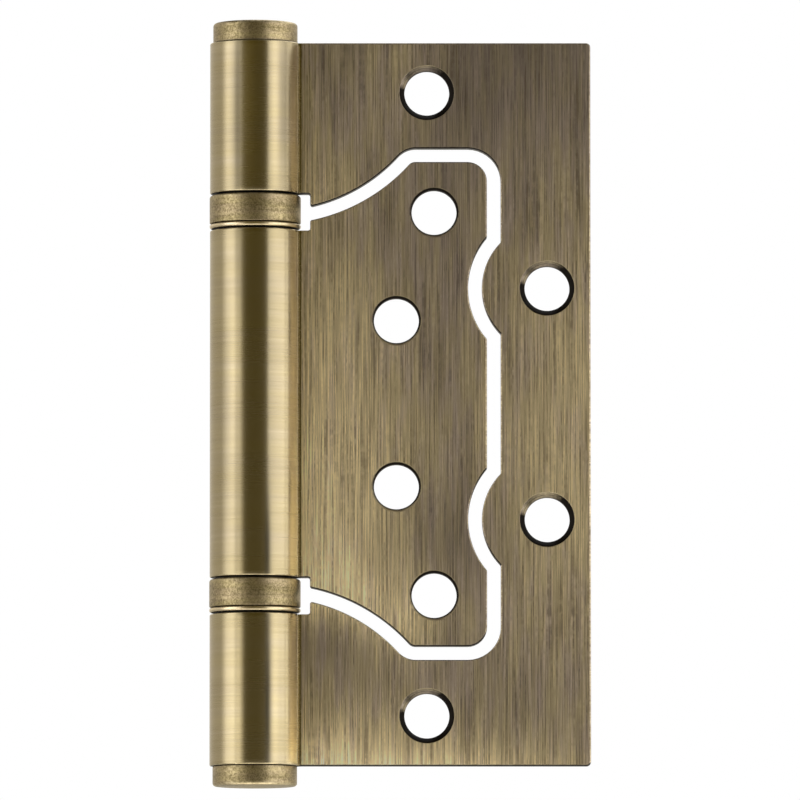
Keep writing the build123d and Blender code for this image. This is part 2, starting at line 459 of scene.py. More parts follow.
@dataclass
class Knuckle:
    """A knuckle rolled from the leaf's sheet round the pin.

    Seen along the pin, the sheet's middle line leaves the leaf, bends back round the
    root and then goes round the pin, up to the free edge that faces the leaf's front.
    """

    low: float
    high: float
    radius: float
    half_sheet: float
    root_x: float
    bend: float
    phase: float
    ripple: float = 0.05 * MM
    seam_angle: float = 15.0
    edge: float = 0.2 * MM

    def stations(self) -> tuple[Array, Array]:
        """Return heights along the pin and how far the section shrinks at each.

        Near each end the height and the shrinkage go round a quarter circle.

        Returns:
            The heights and the shrinkages.
        """
        near, shrink = rounding(self.edge, quarter(5)[::-1])
        count = max(12, int((self.high - self.low) / (0.5 * MM)))
        middle = np.linspace(self.low + self.edge, self.high - self.edge, count)[1:-1]
        heights = np.concatenate([self.low + near, middle, self.high - near[::-1]])
        return heights, np.concatenate([shrink, np.zeros(len(middle)), shrink[::-1]])

    def centre_line(self, heights: Array) -> tuple[Array, Array]:
        """Return the middle line of the sheet at each height, with skin-side normals.

        The free edge wanders along the pin by a sum of three slow waves.

        Args:
            heights: Heights along the pin, shaped (stations, 1).

        Returns:
            Points and normals, shaped (stations, count, 2).
        """
        root = math.atan2(self.bend, self.root_x)
        back = np.linspace(-math.pi / 2, -math.pi + root, 10)
        inward = circle(back)
        bent = np.array([self.root_x, self.bend]) + self.bend * inward
        s = heights / MM + self.phase
        wave = np.sin(0.9 * s) + 0.6 * np.sin(2.3 * s + 1.0) + 0.4 * np.sin(5.1 * s)
        last = 2 * math.pi - math.radians(self.seam_angle) + self.ripple / self.radius * wave
        angle = root + np.linspace(0, 1, 121)[1:] * (last - root)
        outward = circle(angle)
        rolled = (self.radius - self.half_sheet) * outward
        tall = (len(heights), *bent.shape)
        return (np.concatenate([np.broadcast_to(bent, tall), rolled], 1),
                np.concatenate([np.broadcast_to(-inward, tall), outward], 1))

    def patches(self) -> list[Patch]:
        """Return the knuckle's skin, bore and free edge as one band, and its two ends.

        A point of the band is the middle line plus or minus the normal by half the
        sheet less the shrinkage, and the free edge is rounded the same way.

        Returns:
            The band and the two flat ends.
        """
        heights, shrink = self.stations()
        tall, shrink = heights[:, None], shrink[:, None]
        line, normal = self.centre_line(tall)
        along = lengths_of(line)
        half = (self.half_sheet - shrink)[..., None]
        ahead = line[:, -1] - line[:, -2]
        ahead /= np.linalg.norm(ahead, axis=-1, keepdims=True)
        line[:, -1] -= 2 * self.edge * ahead
        skin, bore = line + normal * half, line - normal * half
        turn = quarter(5)[1:]
        round_edge = np.maximum(2 * self.edge - shrink, 0)
        reach = round_edge * np.sin(turn)
        out = (self.half_sheet - 2 * self.edge + round_edge * np.cos(turn))[..., None]
        tip = line[:, -1:] + ahead[:, None] * reach[..., None]
        outer, inner = tip + normal[:, -1:] * out, tip - normal[:, -1:] * out
        loop = np.concatenate([skin, outer, inner[:, ::-1], bore[:, ::-1]], 1)
        along = np.concatenate([along, along[:, -1:] + reach], 1)
        along = np.concatenate([along, along[:, ::-1]], 1)
        # Free edge: bright from rubbing on its outer rounding, then dark into the seam and
        # black over the bore, painted shade.
        seam_rub_and_painted_shade = np.concatenate([np.zeros(skin.shape[1]), [0.8, 0.3, -0.35, -0.6],
                                 np.full(loop.shape[1] - skin.shape[1] - 9, -1.0),
                                 [-0.8, -0.6, -0.4, -0.2, 0.0]])
        # Knuckle ends: a painted highlight with rubbing on the rim, then black towards the
        # end face, painted shade in the gap at each bearing.
        end_rub_and_painted_light = np.interp(shrink / self.edge, [0, 0.08, 0.3, 0.6, 1],
                           [0, 0.9, 0.7, -0.4, -1])
        wear_and_painted_light = np.where((end_rub_and_painted_light < 0) | (seam_rub_and_painted_shade < 0), np.minimum(end_rub_and_painted_light, seam_rub_and_painted_shade),
                        np.maximum(end_rub_and_painted_light, seam_rub_and_painted_shade))
        patches = [Patch.grid(loop[..., 0], loop[..., 1], tall, tall, along, wear_and_painted_light,
                              skin=Skin.BARREL)]
        middle = loop.shape[1] // 2
        sides = np.array([[self.half_sheet], [-self.half_sheet]])
        # The flat ends are black: painted shade in the gaps at the bearings.
        for k in (0, -1):
            pair = np.stack([loop[k, :middle], loop[k, :middle - 1:-1]])
            length = np.stack([along[k, :middle], along[k, :middle - 1:-1]])
            patches.append(Patch.grid(pair[..., 0], pair[..., 1], heights[k],
                                      heights[k] + sides, length, -1.0,
                                      skin=Skin.BARREL, smooth=False))
        return patches

    def root(self) -> Array:
        """Return the points that the knuckle shares with the leaf's faces, upwards."""
        heights, shrink = self.stations()
        ends = [self.low + self.edge, self.high - self.edge]
        rise = np.unique(np.round(np.concatenate([ends, heights[shrink <= 0]]), 9))
        return np.stack([np.full(len(rise), self.root_x), rise], -1)


@dataclass
class Leaf:
    """One leaf: a stamped plate with rounded edges, screw holes and rolled knuckles."""

    name: str
    node: str
    paths: list[tuple[Array, Array]]
    holes: list[ScrewHole]
    knuckles: list[Knuckle]
    half_sheet: float
    edge: float = 0.2 * MM
    brush_pitch: float = 8.0

    def wall(self, path: Array, normal: Array) -> list[Patch]:
        """Return the plate's edge along a path.

        A point is the path less the normal by an inset, at a depth; the inset and the
        depth go round a quarter circle at the front face and at the back face. The
        rounding is bright from rubbing and a painted highlight where the edge faces up or
        aside, and carries painted shade where it faces down; the flat strip between is dark
        all along.

        Args:
            path: Points in the leaf's plane.
            normal: Outward normals at the points.

        Returns:
            The two rounded strips and the flat strip between them.
        """
        inset, depth = rounding(self.edge, quarter(5))
        depth -= self.half_sheet
        # Edge rows: bright from rubbing with a painted highlight where the edge faces up,
        # painted shade where it faces down.
        rubbed_and_painted_highlight = np.array([[0.0], [0.4], [0.3], [-0.5], [-1.0]])
        black = np.array([[0.0], [-0.8], [-1.0], [-1.0], [-1.0]])
        painted_light_by_facing = rubbed_and_painted_highlight + (black - rubbed_and_painted_highlight) * np.clip(-1.8 * normal[:, 1], 0, 1)
        along = lengths_of(path)
        strips = []
        for rows, deep, wear_and_painted_light in ((inset, depth, painted_light_by_facing), (inset, -depth, painted_light_by_facing),
                                 (np.zeros(2), np.array([depth[-1], -depth[-1]]), -1.0)):
            x, z = np.moveaxis(path - normal * rows[:, None, None], -1, 0)
            y = deep[:, None]
            strips.append(Patch.grid(x, y, z, along, y * self.brush_pitch, wear_and_painted_light))
        return strips

    def face(self, side: Side, rims: list[Array]) -> Patch:
        """Return the plate's flat front or back face.

        The face is the area inside the outline, inset by the edge's rounding, without
        the holes, cut into triangles.

        Args:
            side: The face to make.
            rims: The rims of the holes on that face.

        Returns:
            The flat patch.
        """
        edge, *window = [points - normals * self.edge for points, normals in self.paths]
        roots = [knuckle.root() for knuckle in self.knuckles]
        ring = np.concatenate([edge, *roots[1:], *window, roots[0]])
        apart = np.linalg.norm(ring - np.roll(ring, 1, 0), axis=1) > 5 * WELD
        loops = [ring[apart], *rims]
        places = np.concatenate(loops)
        order = np.arange(len(places))
        parts = np.split(order, np.cumsum([len(loop) for loop in loops])[:-1])
        after = np.concatenate([np.roll(part, -1) for part in parts])
        pairs = np.stack([order, after], -1)
        _, _, faces, origin, _, _ = delaunay_2d_cdt(
            (places / MM).tolist(), pairs.tolist(), [], 1, 1e-5)
        flat = places[[same[0] for same in origin]]
        faces = np.array(faces)
        middles = flat[faces].mean(1)
        inside = np.ones(len(faces), bool)
        for hole, rim in zip(self.holes, rims):
            centre = np.array([hole.x, hole.z])
            reach = np.linalg.norm(rim[0] - centre)
            inside &= np.linalg.norm(middles - centre, axis=1) > reach
        points = np.insert(flat, 1, side.value * self.half_sheet, axis=1)
        return Patch(points, faces[inside], flat, np.zeros(len(flat)), smooth=False)

    def build(self, finishes: list[Material], body: str) -> Piece:
        """Build the leaf, dress it and hang it on its body.

        Args:
            finishes: The plate's and the barrel's material.
            body: The body that it rides on.

        Returns:
            The leaf's object.
        """
        bands, ends = zip(*[hole.patches() for hole in self.holes])
        patches = sum(bands, [])
        for path, normal in self.paths:
            patches += self.wall(path, normal)
        patches += [self.face(side, [rims[side] for rims in ends]) for side in Side]
        for knuckle in self.knuckles:
            patches += knuckle.patches()
        piece = build_mesh(self.name, patches)
        for finish in finishes:
            piece.data.materials.append(finish)
        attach(piece, body)
        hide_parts(self.node)
        return piece


# Turned and drawn pieces


@dataclass
class Bend:
    """A corner of a half section, with its rounding and the edge value over it.

    The edge value runs from the value before the corner to the value after it, and rub
    adds a painted highlight, with rubbing, in the middle of the rounding.
    """

    r: float
    z: float
    radius: float = 0.0
    before: float = -1.0
    after: float = -1.0
    rub_and_painted_highlight: float = 0.0


def section(bends: list[Bend], count: int = 6) -> tuple[Array, Array]:
    """Return a half section with rounded corners, and the edge value at each point.

    At a corner with a radius, the section leaves each side by radius x tan(turn / 2)
    and follows the arc between.

    Args:
        bends: The corners in order; the first and the last aren't rounded.
        count: The number of points on a rounded corner.

    Returns:
        The points, shaped (count, 2), and their edge values.
    """
    places = np.array([[bend.r, bend.z] for bend in bends])
    sides = np.diff(places, axis=0)
    sides /= np.linalg.norm(sides, axis=1, keepdims=True)
    points, wear_and_painted_light = [places[:1]], [[bends[0].before]]
    for place, into, away, bend in zip(places[1:], sides, sides[1:], bends[1:]):
        if bend.radius <= 0:
            points.append(place[None])
            wear_and_painted_light.append([bend.before])
            continue
        turn = math.acos(float(np.clip(into @ away, -1, 1)))
        t = np.linspace(0, turn, count)
        side = away - into * math.cos(turn)
        side /= np.linalg.norm(side)
        points.append(place - into * bend.radius * math.tan(turn / 2) + bend.radius * (
            np.outer(np.sin(t), into) + np.outer(1 - np.cos(t), side)))
        wear_and_painted_light.append(np.linspace(bend.before, bend.after, count)
                    + bend.rub_and_painted_highlight * np.sin(np.linspace(0, math.pi, count)))
    return (np.concatenate([*points, places[-1:]]),
            np.concatenate([*wear_and_painted_light, [bends[-1].before]]))


@dataclass
class Turned:
    """A piece turned or drawn round the pin axis from a half section."""

    name: str
    node: str
    section: Array
    wear_and_painted_light: Array
    base: float
    up: int = 1
    steps: int = 144

    def build(self, finish: Material, body: str, slot: str) -> Piece:
        """Turn the section, dress the piece and hang it on its body.

        A point is (radius x cos a, radius x sin a, base + up x height), and the brush
        lines run round the axis. The surface is parted where the section turns sharply.

        Args:
            finish: The piece's material.
            body: The body that it rides on.
            slot: The record's material slot; not used.

        Returns:
            The piece's object.
        """
        angle = np.linspace(0, 2 * math.pi, self.steps + 1)
        radius, height = self.section[:, :1], self.section[:, 1:]
        layers = np.broadcast_arrays(
            radius * np.cos(angle), radius * np.sin(angle), self.base + self.up * height,
            lengths_of(self.section)[:, None], radius.max() * angle, self.wear_and_painted_light[:, None])
        turns = np.diff(self.section, axis=0)
        turns /= np.linalg.norm(turns, axis=1, keepdims=True)
        sharp = np.flatnonzero((turns[1:] * turns[:-1]).sum(1) < 0.8) + 1
        stops = [0, *sharp, len(radius) - 1]
        piece = build_mesh(self.name, [Patch.grid(*[layer[low:high + 1] for layer in layers])
                                       for low, high in zip(stops, stops[1:])])
        piece.data.set_sharp_from_angle(angle=SHARP_TURN)
        piece.data.materials.append(finish)
        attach(piece, body)
        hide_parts(self.node)
        return piece


# Shader groups


class Wiring:
    """The nodes of one material, room or group, with short ways to add to them."""

    def __init__(self, tree: Tree) -> None:
        """Take the tree that the nodes go into."""
        self.tree = tree

    def feed(self, socket: Socket, value: Feed) -> None:
        """Set an input socket to a number, or link an output socket to it."""
        if isinstance(value, Socket):
            self.tree.links.new(value, socket)
        else:
            socket.default_value = value

    def add(self, kind: str, *values: Feed, **named: Feed) -> bpy.types.Node:
        """Return a new shader node, its inputs fed in order and by their names."""
        node = self.tree.nodes.new(f"ShaderNode{kind}")
        for key, value in [*enumerate(values), *named.items()]:
            self.feed(node.inputs[key], value)
        return node

    def math(self, what: str, *values: Feed) -> Socket:
        """Return the result of a math node on sockets or numbers."""
        node = self.add("Math", *values)
        node.operation = what
        return node.outputs[0]

    def vector(self, what: str, a: Feed, b: Feed) -> Socket:
        """Return the result of a vector math node, a number for a dot product."""
        node = self.add("VectorMath", a, b)
        node.operation = what
        return node.outputs["Value" if what == "DOT_PRODUCT" else "Vector"]

    def join(self, x: Feed, y: Feed, z: Feed) -> Socket:
        """Return the vector made of three sockets or numbers."""
        return self.add("CombineXYZ", x, y, z).outputs[0]

    def noise(self, place: Feed, scale: Feed, detail: float, roughness: float) -> Socket:
        """Return the value of a noise texture at a place."""
        return self.add("TexNoise", Vector=place, Scale=scale, Detail=detail,
                        Roughness=roughness).outputs["Fac"]

    def carry(self, value: Feed, low: Feed, high: Feed, to_low: Feed = 0.0,
              to_high: Feed = 1.0) -> Socket:
        """Return a value carried from one range to another, held at both ends."""
        return self.add("MapRange", value, low, high, to_low, to_high).outputs["Result"]

    def blend(self, share: Feed, a: Feed, b: Feed, how: str = "MIX") -> Socket:
        """Return the colour between two colours.

        Args:
            share: How far it is from the first to the second, 0 to 1.
            a: The first colour.
            b: The second colour.
            how: The blend mode.

        Returns:
            The colour's socket.
        """
        node = self.tree.nodes.new("ShaderNodeMix")
        node.data_type = "RGBA"
        node.blend_type = how
        colours = [one for one in node.inputs if one.type == "RGBA"]
        for socket, value in zip([node.inputs[0], *colours], (share, a, b)):
            self.feed(socket, value)
        return next(one for one in node.outputs if one.type == "RGBA")

    def group(self, tree: Tree, **values: Feed) -> Outputs:
        """Place a shader group with its own values.

        Args:
            tree: The group.
            **values: The values or sockets for its inputs, by their names.

        Returns:
            The outputs of the group's node.
        """
        node = self.tree.nodes.new("ShaderNodeGroup")
        node.node_tree = tree
        for label, value in values.items():
            self.feed(node.inputs[label], value)
        return node.outputs


class Effects:
    """The surface effects that the finishes share, each a node group built once."""

    def __init__(self) -> None:
        """Build every group."""
        self.lines = self._brush_lines()
        self.patches = self._patches()
        self.rub_and_painted_highlight = self._edge_rub_and_painted_highlight()
        self.black = self._recess_and_painted_shade()
        self.lobe = self._painted_light_lobe()
        self.grain = self._grain()

    @staticmethod
    def _group(name: str, inputs: dict[str, float | None],
               outputs: tuple[str, ...]) -> tuple:
        """Return an empty group with its sockets.

        Args:
            name: The group's name.
            inputs: Each input's name and default; one without a default is a vector.
            outputs: The names of the outputs, which are all single values.

        Returns:
            The group's wiring, the sockets that bring values in and those that take the
            results out.
        """
        tree = bpy.data.node_groups.new(name, "ShaderNodeTree")
        for label, value in inputs.items():
            kind = "NodeSocketVector" if value is None else "NodeSocketFloat"
            socket = tree.interface.new_socket(label, in_out="INPUT", socket_type=kind)
            if value is not None:
                socket.default_value = value
        for label in outputs:
            tree.interface.new_socket(label, in_out="OUTPUT", socket_type="NodeSocketFloat")
        source, sink = tree.nodes.new("NodeGroupInput"), tree.nodes.new("NodeGroupOutput")
        return Wiring(tree), source.outputs, sink.inputs

    def _brush_lines(self) -> Tree:
        """Return brush lines: two sets of straight lines that come and go.

        Each set is noise drawn out far along the second brush coordinate, less its mean,
        times a shorter noise that says where the set is strong. Scratches is a few
        stronger single lines.
        """
        w, given, out = self._group(
            "brush_lines", {"Brush": None, "Width": 0.12, "Length": 8.0},
            ("Lines", "Scratches"))
        brush = w.add("SeparateXYZ", given["Brush"]).outputs
        across = w.math("DIVIDE", brush["X"], given["Width"])
        along = w.math("DIVIDE", brush["Y"], given["Length"])
        total = 0.5
        for wide, long, spot, seed in ((1.0, 0.12, 0.16, 0.0), (0.42, 0.07, 0.09, 5.0)):
            drawn = w.join(w.math("MULTIPLY", across, wide),
                           w.math("MULTIPLY", along, long), seed)
            short = w.join(w.math("MULTIPLY", across, spot), along, seed + 3.0)
            strong = w.carry(w.noise(short, PER_MM, 2.0, 0.6), 0.35, 0.65, 0.3, 1.6)
            lean = w.math("SUBTRACT", w.noise(drawn, PER_MM, 2.0, 0.6), 0.5)
            total = w.math("ADD", total, w.math("MULTIPLY", lean, strong))
        single = w.join(across, w.math("MULTIPLY", along, 0.3), 11.0)
        w.feed(out["Lines"], total)
        w.feed(out["Scratches"], w.carry(w.noise(single, 480.0, 1.0, 0.5), 0.66, 0.78))
        return w.tree

    def _patches(self) -> Tree:
        """Return soft patches drawn out along the brush lines: Tone, and Hue elsewhere."""
        w, given, out = self._group(
            "tone_patches", {"Brush": None, "Size": 4.0, "Stretch": 8.0}, ("Tone", "Hue"))
        brush = w.add("SeparateXYZ", given["Brush"]).outputs
        along = w.math("DIVIDE", brush["Y"], given["Stretch"])
        scale = w.math("DIVIDE", PER_MM, given["Size"])
        finer = w.math("MULTIPLY", scale, 1.7)
        w.feed(out["Tone"], w.noise(w.join(brush["X"], along, 0.0), scale, 3.0, 0.6))
        w.feed(out["Hue"], w.noise(w.join(brush["X"], along, 0.37), finer, 3.0, 0.6))
        return w.tree

    def _recess_and_painted_shade(self) -> Tree:
        """Return the mask of the blackened recesses and of painted shade in the gaps between
        parts and on edges that face down, with a grainy border.
        """
        w, given, out = self._group("recess_black", {"Place": None, "Edge": 0.0}, ("Mask",))
        grain = w.noise(given["Place"], 2500.0, 2.0, 0.6)
        depth = w.math("ADD", given["Edge"], w.carry(grain, 0.3, 0.7, -0.08, 0.08))
        w.feed(out["Mask"], w.carry(depth, -0.15, -0.75))
        return w.tree

    def _painted_light_lobe(self) -> Tree:
        """Return a soft round field of painted light and shade: exp(-((place - centre) /
        spread)^2).
        """
        w, given, out = self._group(
            "soft_lobe", {"Place": None, "Centre": None, "Spread": None}, ("Mask",))
        away = w.vector("SUBTRACT", given["Place"], given["Centre"])
        share = w.vector("DIVIDE", away, given["Spread"])
        power = w.math("MULTIPLY", w.vector("DOT_PRODUCT", share, share), -1.0)
        w.feed(out["Mask"], w.math("EXPONENT", power))
        return w.tree

    def _grain(self) -> Tree:
        """Return the fine pitting that blasting and plating leave."""
        w, given, out = self._group("fine_grain", {"Place": None}, ("Height", "Specks"))
        height = w.noise(given["Place"], 5000.0, 2.0, 0.7)
        wide = w.noise(given["Place"], 2600.0, 3.0, 0.7)
        w.feed(out["Height"], height)
        w.feed(out["Specks"], w.carry(w.math("ADD", height, wide), 0.8, 1.2))
        return w.tree

    def _edge_rub_and_painted_highlight(self) -> Tree:
        """Return the mask of edges bright from rubbing and from painted highlights: the
        edge's positive value broken up by noise.
        """
        w, given, out = self._group(
            "edge_rub", {"Place": None, "Edge": 0.0, "Amount": 0.6}, ("Mask",))
        lifted = w.carry(w.noise(given["Place"], 900.0, 3.0, 0.6), 0.35, 0.6)
        mask = w.math("MULTIPLY", w.math("MAXIMUM", given["Edge"], 0.0), lifted)
        w.feed(out["Mask"], w.math("MULTIPLY", mask, given["Amount"]))
        return w.tree


# Finishes


def new_material(name: str) -> tuple[Material, Wiring, bpy.types.NodeInputs]:
    """Return a new material, its wiring and its Principled shader's inputs."""
    material = bpy.data.materials.new(name)
    material.use_nodes = True
    wiring = Wiring(material.node_tree)
    return material, wiring, wiring.tree.nodes["Principled BSDF"].inputs


@dataclass(frozen=True)
class PaintedLightLobe:
    """A soft field of painted light and shade on a leaf or a knuckle, seen from the front,
    in millimetres.
    """

    x: float
    z: float
    wide: float
    high: float
    strength: float


def painted_light_lobes(*rows: tuple[float, ...]) -> tuple[PaintedLightLobe, ...]:
    """Return the painted light fields of a table with x, z, width, height and strength in
    each row.
    """
    return tuple(PaintedLightLobe(*row) for row in rows)


@dataclass(frozen=True)
class PlatedFinish:
    """Antique brass plate: blackened, then brushed bright on the open faces.

    The plate lies between its dark and its light colour, its hue patches are tinted by
    cool, and each lobe paints light on it where its strength is positive and shade where
    it is negative. The bright edge colour also paints highlights, and the black also paints
    shade in gaps and on edges that face down.
    cool, and each lobe makes it lighter or darker.
    """

    name: str
    light: Colour
    dark: Colour
    cool: Colour
    line_width: float
    line_length: float
    rough: tuple[float, float]
    spread: float
    rubbed_and_painted_highlight: Colour = (0.66, 0.56, 0.36, 1)
    black: Colour = (0.006, 0.0042, 0.003, 1)
    black_rough: float = 0.4
    middle: float = 0.42
    lines: float = 0.9
    scratches: float = 0.5
    patch: float = 4.0
    tone: float = 0.5
    hue: float = 0.5
    rub_and_painted_highlight: float = 0.9
    bump: float = 0.3
    bump_deep: float = 0.02 * MM
    gloss: float = 0.05
    grain: float = 0.0
    painted_light_lobes: tuple[PaintedLightLobe, ...] = ()

    def make(self, effects: Effects) -> Material:
        """Build the material.

        Args:
            effects: The shared shader groups.

        Returns:
            The material.
        """
        material, w, shader = new_material(self.name)
        uv = w.add("UVMap")
        uv.uv_map = "brush"
        brush = uv.outputs["UV"]
        place = w.add("TexCoord").outputs["Object"]
        attribute = w.add("Attribute")
        attribute.attribute_name = "edge_wear"
        edge = attribute.outputs["Fac"]
        lines = w.group(effects.lines, Brush=brush, Width=self.line_width,
                        Length=self.line_length)
        patches = w.group(effects.patches, Brush=brush, Size=self.patch)
        grain = w.group(effects.grain, Place=place)
        rub_and_painted_highlight = w.group(effects.rub_and_painted_highlight, Place=place, Edge=edge, Amount=self.rub_and_painted_highlight)["Mask"]
        black = w.group(effects.black, Place=place, Edge=edge)["Mask"]
        painted_gain = self.painted_gain(w, effects, place)
        share = self.shade(w, painted_gain, lines, patches, grain)
        # The painted light factor also shifts the hue: warmer where it is high, cooler where
        # it is low.
        hue = w.math("SUBTRACT", w.carry(patches["Hue"], 0.4, 0.65, 0.0, self.hue),
                     w.carry(painted_gain, 0.7, 1.5, -self.hue / 2, self.hue / 2))
        plate = w.blend(share, self.dark, self.light)
        plate = w.blend(w.carry(hue, 0.0, 1.0), plate, self.cool, "MULTIPLY")
        plate = w.blend(1.0, plate, w.join(painted_gain, painted_gain, painted_gain), "MULTIPLY")
        # Bright edge colour: rubbing and painted highlights.
        plate = w.blend(rub_and_painted_highlight, plate, self.rubbed_and_painted_highlight)
        # Recess colour: blackening, and painted shade in gaps and on down-facing edges.
        w.feed(shader["Base Color"], w.blend(black, plate, self.black))
        rough = w.carry(share, 0.0, 1.0, self.rough[1], self.rough[0])
        w.feed(shader["Roughness"], w.carry(black, 0.0, 1.0, rough, self.black_rough))
        pits = w.math("MULTIPLY", grain["Height"], self.grain)
        height = w.math("ADD", lines["Lines"], pits)
        bump = w.add("Bump", Strength=self.bump, Distance=self.bump_deep, Height=height)
        w.feed(shader["Normal"], bump.outputs["Normal"])
        tangent = w.add("Tangent")
        tangent.direction_type = "UV_MAP"
        tangent.uv_map = "brush"
        w.feed(shader["Tangent"], tangent.outputs["Tangent"])
        w.feed(shader["Metallic"], w.math("SUBTRACT", 1.0, black))
        w.feed(shader["Specular IOR Level"], self.gloss)
        w.feed(shader["Anisotropic"], self.spread)
        return material

    def shade(self, w: Wiring, painted_gain: Feed, lines: Outputs,
              patches: Outputs, grain: Outputs) -> Socket:
        """Return the share of the light colour: a middle value and all that shifts it.

        Args:
            w: The material's wiring.
            painted_gain: The factor of painted light and shade on the colour; the lines are
                weaker where it is low.
            lines: The brush lines' outputs.
            patches: The tone patches' outputs.
            grain: The grain's outputs.

        Returns:
            The share, from 0 to 1.
        """
        lean = w.carry(lines["Lines"], 0.3, 0.7, -self.lines / 2, self.lines / 2)
        total = self.middle
        for part in (w.math("MULTIPLY", lean, w.carry(painted_gain, 0.6, 1.2, 0.6, 1.0)),
                     w.carry(patches["Tone"], 0.3, 0.7, -self.tone / 2, self.tone / 2),
                     w.math("MULTIPLY", lines["Scratches"], -self.scratches),
                     w.carry(grain["Specks"], 0.0, 1.0, -self.grain / 4, self.grain / 4)):
            total = w.math("ADD", total, part)
        return w.carry(total, 0.0, 1.0)

    def painted_gain(self, w: Wiring, effects: Effects, place: Socket) -> Feed:
        """Return the factor of painted light and shade on the plate's colour: 1 plus the
        strength of each lobe.
        """
        total = 1.0
        for lobe in self.painted_light_lobes:
            soft = w.group(effects.lobe, Place=place, Centre=(lobe.x * MM, 0, lobe.z * MM),
                           Spread=(lobe.wide * MM, 1, lobe.high * MM))
            total = w.math("ADD", total, w.math("MULTIPLY", soft["Mask"], lobe.strength))
        return total


@dataclass(frozen=True)
class BareFinish:
    """Plain worked metal on the hidden pieces, with turning marks round the pin."""

    name: str
    light: Colour
    dark: Colour
    rough: tuple[float, float]
    marks: float = 0.25
    mark_radius: float = 4.0 * MM

    def make(self, effects: Effects) -> Material:
        """Build the material.

        Args:
            effects: The shared shader groups.

        Returns:
            The material.
        """
        material, w, shader = new_material(self.name)
        place = w.add("SeparateXYZ", w.add("TexCoord").outputs["Object"]).outputs
        turn = w.math("ARCTAN2", place["Y"], place["X"])
        brush = w.join(place["Z"], w.math("MULTIPLY", turn, self.mark_radius), 0.0)
        lines = w.group(effects.lines, Brush=brush, Width=self.marks, Length=6.0)["Lines"]
        tone = w.group(effects.patches, Brush=brush, Size=4.0)["Tone"]
        share = w.math("ADD", w.math("MULTIPLY", lines, 0.6), w.math("MULTIPLY", tone, 0.4))
        shade = w.carry(share, 0.35, 0.65)
        w.feed(shader["Base Color"], w.blend(shade, self.dark, self.light))
        w.feed(shader["Roughness"], w.carry(shade, 0.0, 1.0, self.rough[1], self.rough[0]))
        w.feed(shader["Metallic"], 1.0)
        return material


LEAF_FINISH = PlatedFinish(
    name="brushed_antique_brass", light=(0.558, 0.471, 0.309, 1),
    dark=(0.167, 0.1345, 0.0875, 1), cool=(0.95, 0.94, 1.22, 1), line_width=0.12,
    line_length=1.4, rough=(0.37, 0.43), spread=0.75, patch=2.4, tone=0.4, lines=0.98,
    middle=0.46, hue=0.9, rub_and_painted_highlight=0.6,
    # Painted light and shade on the leaf: each row lightens or darkens a soft field.
    painted_light_lobes=painted_light_lobes(
        (8, -12, 13, 26, 1.15), (43, -6, 10, 28, 0.55), (30, 54, 38, 24, -0.38),
        (25, 12, 9, 30, -0.15), (5, 36, 9, 20, 0.35), (10, -33, 14, 8, -0.6),
        (12, -25, 12, 5, 0.6), (12, -49, 20, 7, 0.6), (19.5, 43, 5, 9, 0.35),
        (8.5, 31, 5, 5, 0.25), (26, -18.5, 9, 8, -0.33), (14, -51.5, 28, 4, 1.0),
        (20, -31.5, 4.5, 5, 0.7), (7.8, -22, 3, 5, 0.35), (13, -26.6, 6, 3, 0.3),
        (30, -25.5, 3.5, 8, -0.1), (31.8, 0, 1.2, 14, 0.25), (7, -49, 8, 4, 0.6),
        (22.5, 48.5, 6, 3, 0.25), (8.5, 29, 6, 3, 0.2), (8.5, -25.5, 3, 2.5, 0.35),
        (20, -29.5, 5, 3, 0.25), (14, -30.5, 6, 2.5, 0.15), (22, -50, 14, 2, 0.3),
        (8, -31, 4, 4.5, -0.25), (38, -41, 6, 5, -0.15)))
BARREL_FINISH = PlatedFinish(
    name="rolled_antique_brass", light=(0.435, 0.372, 0.233, 1),
    dark=(0.26, 0.212, 0.115, 1), cool=(0.98, 0.99, 1.15, 1), line_width=0.14,
    line_length=3.0, rough=(0.22, 0.30), spread=0.6, lines=0.22, tone=0.3, hue=0.6,
    bump=0.08, scratches=0.12,
    # Painted highlights and shade on the knuckles: the rows move and widen the bright bands
    # that reflect the softboxes.
    painted_light_lobes=painted_light_lobes(
        (3.9, 41, 0.8, 14, -0.42), (-1.1, 43, 1.0, 14, 0.5), (-2.4, 40, 0.8, 15, -0.5),
        (2.7, 41, 0.6, 14, 0.3), (5.0, 36, 0.5, 9, 0.3), (1.85, -42, 0.42, 15, -0.75),
        (5.1, -45, 0.8, 14, 0.9), (-2.5, -44, 0.8, 12, 0.25), (2.8, -42, 0.5, 14, 0.3),
        (4.5, 0, 0.7, 24, 0.3), (1.8, -20, 0.42, 8, -0.6), (5.2, -19, 0.8, 8, 0.4),
        (-3.9, -3, 0.6, 26, -0.25), (-2.4, 5, 0.8, 10, 0.2)))
TURNED_FINISH = PlatedFinish(
    name="turned_antique_brass", light=(0.47, 0.39, 0.215, 1), dark=(0.15, 0.12, 0.055, 1),
    cool=(1.0, 0.96, 1.2, 1), line_width=0.14, line_length=3.0, rough=(0.36, 0.48),
    spread=0.3, patch=1.2, tone=0.35, lines=0.12, hue=0.6, grain=1.3)
